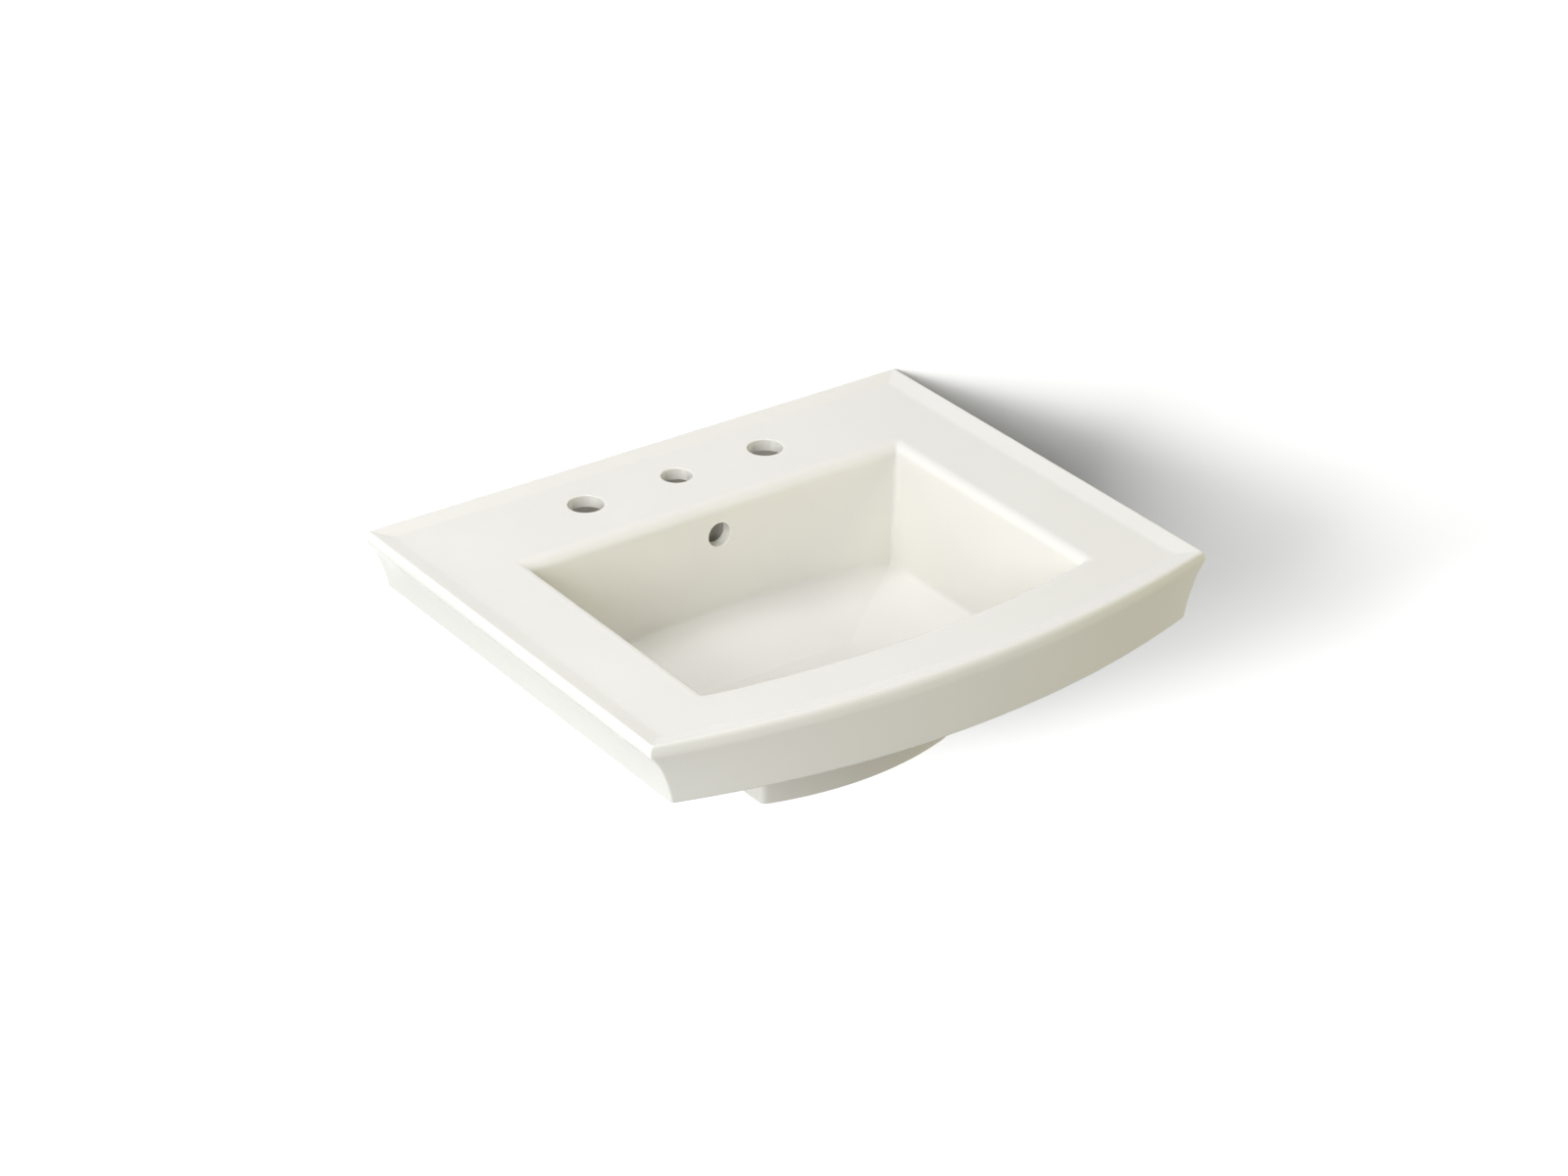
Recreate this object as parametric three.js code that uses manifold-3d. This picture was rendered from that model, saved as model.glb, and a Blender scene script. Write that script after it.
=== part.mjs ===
// Bow-front china washbasin that hangs on a wall above a pedestal, with its push-button waste and
// its two wall hangers.
//
// Frame, in millimetres: +X to the right as seen from the front, +Y into the wall, +Z up. The origin
// lies on the wall plane, midway between the two hanger studs. Heights are written as depths below
// the crest of the rim, because every level of a washbasin is set out from its rim.

import * as THREE from 'three';
import { mergeVertices } from 'three/addons/utils/BufferGeometryUtils.js';
import Module from 'manifold-3d';

const wasm = await Module();
wasm.setup();

// ---------------------------------------------------------------- driving dimensions

const RIM_Z = 38;             // crest of the rim above the hanger studs
const FIT_GAP = 0.3;          // clearance kept between pieces that touch
const SKIN = 2;               // how far a cutting solid runs past the face that it cuts

// Outside of the basin
const CREST_HALF = 298;       // half width at the crest of the rim
const BEAD_BULGE = 4.6;       // the side bead stands this far outside the crest
const BEAD_DEPTH = 7;         // depth of the bead's widest line
const FRONT_ROUND = 13;       // depth over which the front edge rounds into the front face
const SKIRT_DEPTH = 62.4;     // bottom edge of the skirt
const SKIRT_HALF = 281;       // half width at the bottom edge of the skirt
const WALL = 11;              // thickness of the china
const BEVEL_WIDTH = 17.5;     // the rim slopes down to the deck over this width
const DECK_DEPTH = 5;         // deck below the crest
const DECK_THICKNESS = 12;
const BACK_ROUND = 3;         // small round along the top of the back edge
const FRONT_CORNER_Y = -474.5;  // front corners, at the bottom of the skirt
const FRONT_APEX_Y = -520;      // middle of the bow, at the bottom of the skirt

// Bowl
const BOWL_CORNER_RADIUS = 5;
const BOWL_LIP = 11;          // radius of the lip between deck and bowl
const FLOOR_CROWN = 12;       // the foot of the back wall rises this much in the middle
const FLOOR_DEPTH = 145;      // flat bottom of the bowl

// Waste outlet
const DRAIN_Y = -275;
const DRAIN_HOLE_RADIUS = 22.5;
const DRAIN_SEAT_DEPTH = 149.5;
const BOSS_DEPTH = 184;       // underside of the boss round the outlet
const BOSS_RADIUS = 40;

// Foot that stands on the pedestal
const FOOT_DEPTH = 187.4;
const FOOT_HALF = 105;
const FOOT_BACK = -175;

// Overflow
const OVERFLOW_DEPTH = 37.7;
const OVERFLOW_RADIUS = 12;
const DUCT_HALF = 18;
const DUCT_BACK = -113;       // back face of the water way
const DUCT_WALL = 10;
const DUCT_TOP = 160;         // depth of the duct's roof where it meets the outlet
const DUCT_FLOOR = 175;

// Tap holes
const TAP_Y = -62.5;
const TAP_SPREAD = 101.6;     // centre hole to side hole: half of an 8 inch spread
const SIDE_TAP_RADIUS = 17.3;
const MIDDLE_TAP_RADIUS = 15;
const TAP_LIP = 1.2;

// Wall hangers
const HANGER_X = 178;
const HANGER_HOLE_RADIUS = 7;
const STUD_RADIUS = 5;
const STUD_IN_WALL = 62;
const STUD_IN_ROOM = 34;

// Waste fitting
const BODY_RADIUS = 20.9;     // 1 1/4 inch pipe thread
const BORE_RADIUS = 17.5;
const BODY_END_DEPTH = 233;
const FLANGE_RADIUS = 32;
const CAP_RADIUS = 20.6;
const SEAL_RADIUS = 19.8;
const PLUG_LIFT = 8;          // the plug stands this far above its closed position

const ROUND = 40;             // facets round a turned piece
const SMALL_ROUND = 24;       // facets round a small turned piece

const below = (depth) => RIM_Z - depth;

// ---------------------------------------------------------------- materials

const finish = (color, roughness, metalness) =>
  new THREE.MeshStandardMaterial({ color, roughness, metalness });

const CHINA = finish(0xf1eee6, 0.12, 0);
const CHROME = finish(0xd8dadc, 0.12, 1);
const BRASS = finish(0xb9a163, 0.35, 1);
const ZINC = finish(0xb4b8ba, 0.4, 1);
const SPRING_STEEL = finish(0xa9adb0, 0.3, 1);
const RUBBER = finish(0x23262b, 0.85, 0);
const NYLON = finish(0xe8e6df, 0.55, 0);
const ACETAL = finish(0x3b4046, 0.5, 0);

// ---------------------------------------------------------------- solids and meshes

// A closed geometry as a solid that can be joined and cut.
function solid(geometry) {
  const bare = geometry.clone();
  bare.deleteAttribute('normal');
  bare.deleteAttribute('uv');
  const merged = mergeVertices(bare, 1e-4);
  const index = merged.index.array;
  const triangles = [];
  for (let i = 0; i < index.length; i += 3) {
    const [a, b, c] = [index[i], index[i + 1], index[i + 2]];
    if (a !== b && b !== c && c !== a) triangles.push(a, b, c);
  }
  return new wasm.Manifold(new wasm.Mesh({
    numProp: 3,
    vertProperties: new Float32Array(merged.attributes.position.array),
    triVerts: new Uint32Array(triangles),
  }));
}

function named(name, body, material) {
  const mesh = body.getMesh();
  const geometry = new THREE.BufferGeometry();
  geometry.setAttribute('position', new THREE.BufferAttribute(mesh.vertProperties, 3));
  geometry.setIndex(new THREE.BufferAttribute(mesh.triVerts, 1));
  geometry.computeVertexNormals();
  const result = new THREE.Mesh(geometry, material);
  result.name = name;
  return result;
}

const joined = (bodies) => bodies.reduce((whole, body) => whole.add(body));
const carved = (body, cutters) => cutters.reduce((rest, cutter) => rest.subtract(cutter), body);

// A solid of revolution about the vertical through (x, y). The outline is a list of [radius, z].
function turned(outline, x = 0, y = 0, facets = ROUND) {
  const points = outline.map(([radius, z]) => new THREE.Vector2(radius, z));
  const onAxis = outline[0][0] === 0 && outline.at(-1)[0] === 0;
  if (!onAxis) points.push(points[0].clone());
  const geometry = new THREE.LatheGeometry(points, facets);
  geometry.rotateX(Math.PI / 2);
  geometry.translate(x, y, 0);
  return outward(geometry);
}

// The same, about the line through (x, z) that runs along +Y. The outline is a list of [radius, y].
function turnedAlongY(outline, x, z, facets = SMALL_ROUND) {
  const points = outline.map(([radius, y]) => new THREE.Vector2(radius, y));
  const onAxis = outline[0][0] === 0 && outline.at(-1)[0] === 0;
  if (!onAxis) points.push(points[0].clone());
  const geometry = new THREE.LatheGeometry(points, facets);
  geometry.translate(x, 0, z);
  return outward(geometry);
}

// LatheGeometry faces inwards or outwards with the direction of its profile: this makes it outwards.
function outward(geometry) {
  const corner = [new THREE.Vector3(), new THREE.Vector3(), new THREE.Vector3()];
  const flat = geometry.toNonIndexed();
  const position = flat.attributes.position;
  let volume = 0;
  for (let i = 0; i < position.count; i += 3) {
    corner.forEach((point, k) => point.fromBufferAttribute(position, i + k));
    volume += corner[0].dot(corner[1].cross(corner[2]));
  }
  if (volume < 0) {
    const index = geometry.index.array;
    for (let i = 0; i < index.length; i += 3) [index[i], index[i + 1]] = [index[i + 1], index[i]];
  }
  return solid(geometry);
}

// An upright box between two corners.
function block([x0, x1], [y0, y1], [z0, z1]) {
  const geometry = new THREE.BoxGeometry(x1 - x0, y1 - y0, z1 - z0);
  geometry.translate((x0 + x1) / 2, (y0 + y1) / 2, (z0 + z1) / 2);
  return solid(geometry);
}

// ---------------------------------------------------------------- bow-front outlines and lofts

const BACK_STEPS = 8;
const SIDE_STEPS = 4;
const FRONT_STEPS = 18;
const CORNER_STEPS = 3;

// A level outline with a straight back, straight sides and a front bowed from corner to apex.
function outline({ half, back, corner, apex, depth, radius = 2, crown = 0 }) {
  const sag = corner - apex;
  const bow = (half * half + sag * sag) / (2 * sag);
  const frontY = (x) => apex + bow - Math.sqrt(bow * bow - x * x);
  const points = [];
  const straight = (x0, y0, x1, y1, steps) => {
    for (let i = 0; i < steps; i += 1) {
      points.push(new THREE.Vector2(x0 + ((x1 - x0) * i) / steps, y0 + ((y1 - y0) * i) / steps));
    }
  };
  const rounded = (x0, y0, cornerX, cornerY, x1, y1) => {
    const curve = new THREE.QuadraticBezierCurve(
      new THREE.Vector2(x0, y0),
      new THREE.Vector2(cornerX, cornerY),
      new THREE.Vector2(x1, y1),
    );
    points.push(...curve.getPoints(CORNER_STEPS).slice(0, -1));
  };
  const inner = half - radius;
  straight(-inner, back, inner, back, BACK_STEPS);
  rounded(inner, back, half, back, half, back - radius);
  straight(half, back - radius, half, corner + radius, SIDE_STEPS);
  rounded(half, corner + radius, half, corner, inner, frontY(inner));
  for (let i = 0; i < FRONT_STEPS; i += 1) {
    const x = inner - (2 * inner * i) / FRONT_STEPS;
    points.push(new THREE.Vector2(x, frontY(x)));
  }
  rounded(-inner, frontY(inner), -half, corner, -half, corner + radius);
  straight(-half, corner + radius, -half, back - radius, SIDE_STEPS);
  rounded(-half, back - radius, -half, back, -inner, back);
  return points.map(({ x, y }) => {
    const atBack = y > back - radius - 1e-6;
    const lift = atBack ? crown * (1 - (x / half) ** 2) : 0;
    return new THREE.Vector3(x, y, below(depth) + lift);
  });
}

// A closed solid through a stack of outlines, capped at both ends.
function loft(levels) {
  const rings = levels.map(outline);
  const count = rings[0].length;
  const middle = (ring) =>
    ring.reduce((sum, point) => sum.add(point), new THREE.Vector3()).divideScalar(count);
  const points = [...rings.flat(), middle(rings[0]), middle(rings.at(-1))];
  const first = rings.length * count;
  const last = first + 1;
  const index = [];
  for (let i = 0; i < count; i += 1) {
    const j = (i + 1) % count;
    for (let level = 0; level < rings.length - 1; level += 1) {
      const a = level * count;
      const b = a + count;
      index.push(a + i, a + j, b + j, a + i, b + j, b + i);
    }
    const end = (rings.length - 1) * count;
    index.push(j, i, first, end + i, end + j, last);
  }
  const geometry = new THREE.BufferGeometry().setFromPoints(points);
  geometry.setIndex(index);
  return outward(geometry);
}

// ---------------------------------------------------------------- the basin

const mix = (a, b, t) => a + (b - a) * t;
const ellipse = (share) => 1 - Math.sqrt(1 - (1 - share) ** 2);

const sideCove = new THREE.QuadraticBezierCurve(
  new THREE.Vector2(CREST_HALF + BEAD_BULGE - 0.3, 10),
  new THREE.Vector2(CREST_HALF - 10, 26),
  new THREE.Vector2(SKIRT_HALF, SKIRT_DEPTH),
);

// Outside outline at one depth, from the side profile's half width.
function skirtLevel(half, depth) {
  const t = Math.max(0, (depth - FRONT_ROUND) / (SKIRT_DEPTH - FRONT_ROUND));
  const frontInset = depth < FRONT_ROUND ? ellipse(depth / FRONT_ROUND) : 0;
  const backInset = depth < BACK_ROUND ? BACK_ROUND * ellipse(depth / BACK_ROUND) : 0;
  return {
    half,
    depth,
    back: -backInset,
    corner: FRONT_CORNER_Y - 1.5 * (1 - t) + 3 * frontInset,
    apex: FRONT_APEX_Y + 2.5 * (1 - t) + 8 * frontInset,
  };
}

// Inner edge of the rim's slope, where the flat deck begins.
const DECK_LEVEL = {
  half: CREST_HALF - BEVEL_WIDTH,
  back: -BEVEL_WIDTH,
  corner: FRONT_CORNER_Y + 18,
  apex: FRONT_APEX_Y + 28,
  depth: DECK_DEPTH,
};

const bead = [0, 0.25, 0.5, 0.75, 1].map((turn) => {
  const angle = (turn * Math.PI) / 2;
  return [CREST_HALF + BEAD_BULGE * Math.sin(angle), BEAD_DEPTH * (1 - Math.cos(angle))];
});
const cove = sideCove.getPoints(6).map(({ x, y }) => [x, y]);
const sideProfile = [...bead, ...cove];

// Half width of the outside at any depth, read off the side profile.
function halfAt(depth) {
  const lower = sideProfile.findIndex(([, level]) => level >= depth);
  if (lower < 0) return SKIRT_HALF;
  const [halfBelow, levelBelow] = sideProfile[lower];
  const [halfAbove, levelAbove] = sideProfile[lower - 1];
  return mix(halfAbove, halfBelow, (depth - levelAbove) / (levelBelow - levelAbove));
}

const rimAndSkirt = () =>
  loft([DECK_LEVEL, ...sideProfile.map(([half, depth]) => skirtLevel(half, depth))]);

// The hollow under the deck, open at the bottom.
function underside() {
  const roof = DECK_DEPTH + DECK_THICKNESS;
  const inside = (depth, inset) => {
    const outer = skirtLevel(halfAt(depth), depth);
    return {
      half: outer.half - inset,
      back: -inset,
      corner: outer.corner + inset,
      apex: outer.apex + inset,
      depth,
      radius: 8,
    };
  };
  return loft([
    inside(roof, WALL + 5),
    inside(roof + 2, WALL + 1.5),
    inside(roof + 5, WALL),
    inside(32, WALL),
    inside(45, WALL),
    inside(SKIRT_DEPTH + SKIN, WALL),
  ]);
}

const LIP_STEPS = 4;
const LIP_START = { half: 218, back: -118.5, corner: -424.5, apex: -447 };
const LIP_END = { half: 207, back: -133, corner: -414, apex: -436 };

function lipLevels() {
  const radius = BOWL_CORNER_RADIUS;
  const levels = [{ ...LIP_START, depth: DECK_DEPTH - SKIN, radius }];
  for (let i = 0; i <= LIP_STEPS; i += 1) {
    const angle = (i / LIP_STEPS) * (Math.PI / 2);
    const level = { depth: DECK_DEPTH + BOWL_LIP * (1 - Math.cos(angle)), radius };
    for (const key of Object.keys(LIP_START)) {
      level[key] = mix(LIP_START[key], LIP_END[key], Math.sin(angle));
    }
    levels.push(level);
  }
  return levels;
}

// The inside of the bowl: lip, four walls, and a floor of four facets round a flat bottom.
function bowlHollow() {
  const radius = BOWL_CORNER_RADIUS;
  const crown = FLOOR_CROWN;
  return loft([
    ...lipLevels(),
    { half: 197, back: -138, corner: -370, apex: -391.5, depth: 122, radius, crown },
    { half: 195.3, back: -139, corner: -367, apex: -388, depth: 127.5, radius, crown },
    { half: 190.5, back: -143.5, corner: -362, apex: -382, depth: 131, radius, crown },
    { half: 92, back: -216, corner: -330, apex: -333, depth: FLOOR_DEPTH, radius: 4 },
  ]);
}

// The outside of the bowl's walls and floor, seen from below.
function bowlShell() {
  const crown = FLOOR_CROWN;
  return loft([
    { half: 220, back: -114, corner: -430, apex: -452, depth: DECK_DEPTH + 4, radius: 14 },
    { half: 218, back: -122, corner: -425, apex: -447, depth: 18, radius: 14 },
    { half: 207.5, back: -127.5, corner: -377, apex: -400, depth: 127, radius: 14, crown },
    { half: 200, back: -135, corner: -369, apex: -391, depth: 140, radius: 12, crown },
    { half: 96, back: -212, corner: -336, apex: -340, depth: 156, radius: 8 },
  ]);
}

// The foot: front and two sides, open at the back where the pipes run to the wall.
function foot() {
  const top = 125;
  const ring = (inset, back, depth) => ({
    half: FOOT_HALF - inset,
    back,
    corner: -353 + inset,
    apex: -371 + inset,
    depth,
    radius: 6,
  });
  const outer = loft([ring(0, FOOT_BACK, top), ring(0, FOOT_BACK, FOOT_DEPTH)]);
  const inner = loft([ring(12, 0, top - SKIN), ring(12, 0, FOOT_DEPTH + SKIN)]);
  return outer.subtract(inner);
}

// China round the overflow duct: down behind the bowl, then forward under its floor.
function ductWalls() {
  const half = DUCT_HALF + DUCT_WALL;
  const back = DUCT_BACK + DUCT_WALL;
  const section = (front, depth, shrink = 0) => ({
    half: half - shrink,
    back: back - shrink,
    corner: front,
    apex: front - 1,
    depth,
    radius: 12,
  });
  const rounding = BOSS_DEPTH - 10;
  return joined([
    loft([section(-140, DECK_DEPTH + 6, 4), section(-140, 24), section(-140, rounding),
      section(-140, BOSS_DEPTH, 6)]),
    loft([section(DRAIN_Y, 140), section(DRAIN_Y, rounding), section(DRAIN_Y, BOSS_DEPTH, 6)]),
    turned([[0, below(BOSS_DEPTH)], [BOSS_RADIUS, below(BOSS_DEPTH)], [BOSS_RADIUS, below(148)],
      [0, below(148)]], 0, DRAIN_Y),
  ]);
}

// The water way inside it, from the overflow hole to the ring round the outlet.
function ductHollow() {
  const sides = [-DUCT_HALF, DUCT_HALF];
  return joined([
    block(sides, [DUCT_BACK - 10, DUCT_BACK], [below(DUCT_FLOOR), below(24)]),
    block(sides, [DRAIN_Y, DUCT_BACK], [below(DUCT_FLOOR), below(DUCT_TOP)]),
    turned([[0, below(DUCT_FLOOR)], [29, below(DUCT_FLOOR)], [29, below(DUCT_TOP)],
      [0, below(DUCT_TOP)]], 0, DRAIN_Y),
    turnedAlongY([[0, -150], [OVERFLOW_RADIUS, -150], [OVERFLOW_RADIUS, -118], [0, -118]],
      0, below(OVERFLOW_DEPTH)),
  ]);
}

function outletHole() {
  return turned([
    [0, below(BOSS_DEPTH + SKIN)],
    [DRAIN_HOLE_RADIUS, below(BOSS_DEPTH + SKIN)],
    [DRAIN_HOLE_RADIUS, below(DRAIN_SEAT_DEPTH)],
    [33.5, below(DRAIN_SEAT_DEPTH)],
    [36, below(FLOOR_DEPTH)],
    [36, below(FLOOR_DEPTH - SKIN)],
    [0, below(FLOOR_DEPTH - SKIN)],
  ], 0, DRAIN_Y);
}

function tapHole(x, radius) {
  const edge = [0, 30, 60, 90].map((degrees) => {
    const angle = THREE.MathUtils.degToRad(degrees);
    const out = TAP_LIP * (1 - Math.sin(angle));
    const down = TAP_LIP * (1 - Math.cos(angle));
    return [radius + out, below(DECK_DEPTH + down)];
  });
  return turned([
    [0, below(DECK_DEPTH - SKIN)],
    [radius + TAP_LIP, below(DECK_DEPTH - SKIN)],
    ...edge,
    [radius, below(DECK_DEPTH + DECK_THICKNESS + SKIN)],
    [0, below(DECK_DEPTH + DECK_THICKNESS + SKIN)],
  ], x, TAP_Y, 32);
}

const hangerHole = (x) =>
  turnedAlongY([
    [0, -WALL - SKIN],
    [HANGER_HOLE_RADIUS, -WALL - SKIN],
    [HANGER_HOLE_RADIUS, SKIN],
    [0, SKIN],
  ], x, 0);

function basin() {
  const shell = rimAndSkirt().subtract(underside());
  const china = joined([shell, bowlShell(), foot(), ductWalls()]);
  return carved(china, [
    bowlHollow(),
    ductHollow(),
    outletHole(),
    tapHole(-TAP_SPREAD, SIDE_TAP_RADIUS),
    tapHole(0, MIDDLE_TAP_RADIUS),
    tapHole(TAP_SPREAD, SIDE_TAP_RADIUS),
    hangerHole(-HANGER_X),
    hangerHole(HANGER_X),
  ]);
}

// ---------------------------------------------------------------- wall hangers

// Wood thread in the wall, plain shank, machine thread in the room.
function hangerStud(x) {
  return turnedAlongY([
    [0, -STUD_IN_ROOM],
    [STUD_RADIUS - 1, -STUD_IN_ROOM],
    [STUD_RADIUS, -STUD_IN_ROOM + 1],
    [STUD_RADIUS, STUD_IN_WALL - 14],
    [0, STUD_IN_WALL],
  ], x, 0);
}

// Shouldered bush that keeps the steel off the china.
function hangerBush(x) {
  const inner = STUD_RADIUS + FIT_GAP;
  const shoulder = -WALL - FIT_GAP;
  return turnedAlongY([
    [inner, -FIT_GAP],
    [HANGER_HOLE_RADIUS - FIT_GAP, -FIT_GAP],
    [HANGER_HOLE_RADIUS - FIT_GAP, shoulder],
    [13, shoulder],
    [13, shoulder - 3],
    [inner, shoulder - 3],
  ], x, 0);
}

function hangerWasher(x) {
  const face = -WALL - 3 - 2 * FIT_GAP;
  return turnedAlongY([
    [STUD_RADIUS + FIT_GAP, face],
    [12.5, face],
    [12.5, face - 2],
    [STUD_RADIUS + FIT_GAP, face - 2],
  ], x, 0);
}

function hangerNut(x) {
  const face = -WALL - 5 - 3 * FIT_GAP;
  const height = 8;
  const across = 17;
  const radius = across / Math.sqrt(3);
  const geometry = new THREE.CylinderGeometry(radius, radius, height, 6);
  geometry.translate(x, face - height / 2, 0);
  const chamfer = turnedAlongY([
    [0, face],
    [across / 2, face],
    [across / 2 + 2, face - 1.2],
    [across / 2 + 2, face - height + 1.2],
    [across / 2, face - height],
    [0, face - height],
  ], x, 0);
  const bore = turnedAlongY([
    [0, face + SKIN],
    [STUD_RADIUS + FIT_GAP, face + SKIN],
    [STUD_RADIUS + FIT_GAP, face - height - SKIN],
    [0, face - height - SKIN],
  ], x, 0);
  return solid(geometry).intersect(chamfer).subtract(bore);
}

// ---------------------------------------------------------------- waste fitting

const HUB_RADIUS = 11.5;
const HUB_TOP = 196;
const HUB_BOTTOM = 202;
const HOUSING_RADIUS = 9;

// Flange, threaded barrel with two overflow windows, and a three-armed bridge across its bore.
function wasteBody() {
  const barrel = turned([
    [BORE_RADIUS, below(BODY_END_DEPTH)],
    [BODY_RADIUS - 1, below(BODY_END_DEPTH)],
    [BODY_RADIUS, below(BODY_END_DEPTH - 1)],
    [BODY_RADIUS, below(148.2)],
    [FLANGE_RADIUS - 2, below(146.9)],
    [FLANGE_RADIUS, below(146.4)],
    [FLANGE_RADIUS - 0.6, below(145.3)],
    [FLANGE_RADIUS - 4, below(144.6)],
    [24.5, below(144.9)],
    [21.5, below(146.2)],
    [19.6, below(149.6)],
    [BORE_RADIUS, below(152)],
  ], 0, DRAIN_Y);
  const arms = [0, 1, 2].map((i) => {
    const geometry = new THREE.BoxGeometry(BORE_RADIUS + 1, 4, HUB_BOTTOM - HUB_TOP);
    geometry.translate((BORE_RADIUS + 1) / 2, 0, 0);
    geometry.rotateZ((i * 2 * Math.PI) / 3 + Math.PI / 2);
    geometry.translate(0, DRAIN_Y, below((HUB_TOP + HUB_BOTTOM) / 2));
    return solid(geometry);
  });
  const hub = turned([[0, below(HUB_BOTTOM)], [HUB_RADIUS, below(HUB_BOTTOM)],
    [HUB_RADIUS, below(HUB_TOP)], [0, below(HUB_TOP)]], 0, DRAIN_Y, SMALL_ROUND);
  const hubBore = HOUSING_RADIUS - 1.5 + FIT_GAP;
  return carved(joined([barrel, hub, ...arms]), [
    turned([[0, below(HUB_BOTTOM + SKIN)], [hubBore, below(HUB_BOTTOM + SKIN)],
      [hubBore, below(HUB_TOP - SKIN)], [0, below(HUB_TOP - SKIN)]], 0, DRAIN_Y, SMALL_ROUND),
    block([-30, 30], [DRAIN_Y - 7, DRAIN_Y + 7], [below(DUCT_FLOOR - 1), below(DUCT_TOP + 1)]),
  ]);
}

// A plain ring round the barrel.
const ring = (inner, outer, top, bottom) =>
  turned([[inner, below(bottom)], [outer, below(bottom)], [outer, below(top)], [inner, below(top)]],
    0, DRAIN_Y);

const flangeGasket = () =>
  turned([
    [BODY_RADIUS + FIT_GAP, below(DRAIN_SEAT_DEPTH - FIT_GAP)],
    [30, below(DRAIN_SEAT_DEPTH - FIT_GAP)],
    [30, below(147.4)],
    [BODY_RADIUS + FIT_GAP, below(148.6)],
  ], 0, DRAIN_Y);

const UNDER_GASKET_BOTTOM = BOSS_DEPTH + FIT_GAP + 8;
const SLIP_WASHER_BOTTOM = UNDER_GASKET_BOTTOM + FIT_GAP + 1.6;
const LOCK_NUT_TOP = SLIP_WASHER_BOTTOM + FIT_GAP;
const LOCK_NUT_HEIGHT = 10;

// Rubber ring whose spigot centres the barrel in the china.
function underGasket() {
  const top = BOSS_DEPTH + FIT_GAP;
  const inner = BODY_RADIUS + FIT_GAP;
  return turned([
    [inner, below(UNDER_GASKET_BOTTOM)],
    [30, below(UNDER_GASKET_BOTTOM)],
    [28, below(top)],
    [DRAIN_HOLE_RADIUS - FIT_GAP, below(top)],
    [inner + 0.4, below(BOSS_DEPTH - 4)],
    [inner, below(BOSS_DEPTH - 4)],
  ], 0, DRAIN_Y);
}

const slipWasher = () =>
  ring(BODY_RADIUS + FIT_GAP, 29, UNDER_GASKET_BOTTOM + FIT_GAP, SLIP_WASHER_BOTTOM);

function lockNut() {
  const across = 52;
  const radius = across / Math.sqrt(3);
  const geometry = new THREE.CylinderGeometry(radius, radius, LOCK_NUT_HEIGHT, 6);
  geometry.rotateX(Math.PI / 2);
  geometry.translate(0, DRAIN_Y, below(LOCK_NUT_TOP + LOCK_NUT_HEIGHT / 2));
  const chamfer = turned([
    [0, below(LOCK_NUT_TOP + LOCK_NUT_HEIGHT)],
    [across / 2, below(LOCK_NUT_TOP + LOCK_NUT_HEIGHT)],
    [across / 2 + 5, below(LOCK_NUT_TOP + LOCK_NUT_HEIGHT - 2.5)],
    [across / 2 + 5, below(LOCK_NUT_TOP)],
    [0, below(LOCK_NUT_TOP)],
  ], 0, DRAIN_Y);
  const bottom = LOCK_NUT_TOP + LOCK_NUT_HEIGHT;
  const bore = ring(0, BODY_RADIUS + FIT_GAP, LOCK_NUT_TOP - SKIN, bottom + SKIN);
  return solid(geometry).intersect(chamfer).subtract(bore);
}

// ---------------------------------------------------------------- push latch and plug

const HOUSING_TOP = 180;
const HOUSING_BOTTOM = 222;
const STEM_RADIUS = 4;
const COLLAR_TOP = HOUSING_TOP + 2 + FIT_GAP;  // the raised stem's collar stops under the lid
const COLLAR_BOTTOM = COLLAR_TOP + 4;
const ROTOR_BOTTOM = COLLAR_BOTTOM + 7;
const LATCH_BORE = 7.2;

// Cup that carries the latch. Its shoulder sits on the bridge and its neck passes through the hub.
function latchHousing() {
  const neck = HOUSING_RADIUS - 1.5;
  return turned([
    [STEM_RADIUS + 0.5, below(HOUSING_TOP)],
    [STEM_RADIUS + 0.5, below(HOUSING_TOP + 2)],
    [LATCH_BORE - 1.2, below(HOUSING_TOP + 2)],
    [LATCH_BORE - 1.2, below(HOUSING_BOTTOM - 2)],
    [2, below(HOUSING_BOTTOM - 2)],
    [2, below(HOUSING_BOTTOM)],
    [neck, below(HOUSING_BOTTOM)],
    [neck, below(HUB_TOP - FIT_GAP)],
    [HOUSING_RADIUS + 1, below(HUB_TOP - FIT_GAP)],
    [HOUSING_RADIUS + 1, below(HOUSING_TOP + 2)],
    [HOUSING_RADIUS, below(HOUSING_TOP)],
  ], 0, DRAIN_Y, SMALL_ROUND);
}

// Thin nut that clamps the housing under the bridge.
function latchNut() {
  const top = HUB_BOTTOM + FIT_GAP;
  const height = 4;
  const geometry = new THREE.CylinderGeometry(12, 12, height, 6);
  geometry.rotateX(Math.PI / 2);
  geometry.translate(0, DRAIN_Y, below(top + height / 2));
  const bore = ring(0, HOUSING_RADIUS - 1.5 + FIT_GAP, top - SKIN, top + height + SKIN);
  return solid(geometry).subtract(bore);
}

const PIECE_RADIUS = LATCH_BORE - 1.2 - FIT_GAP;

// Stem with the collar that stops it under the housing's lid, and the pin that carries the rotor.
function plugStem() {
  return turned([
    [0, below(ROTOR_BOTTOM + 3)],
    [1.8, below(ROTOR_BOTTOM + 3)],
    [1.8, below(COLLAR_BOTTOM)],
    [PIECE_RADIUS, below(COLLAR_BOTTOM)],
    [PIECE_RADIUS, below(COLLAR_TOP)],
    [STEM_RADIUS, below(COLLAR_TOP)],
    [STEM_RADIUS, below(142.6)],
    [0, below(142.6)],
  ], 0, DRAIN_Y, SMALL_ROUND);
}

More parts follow.
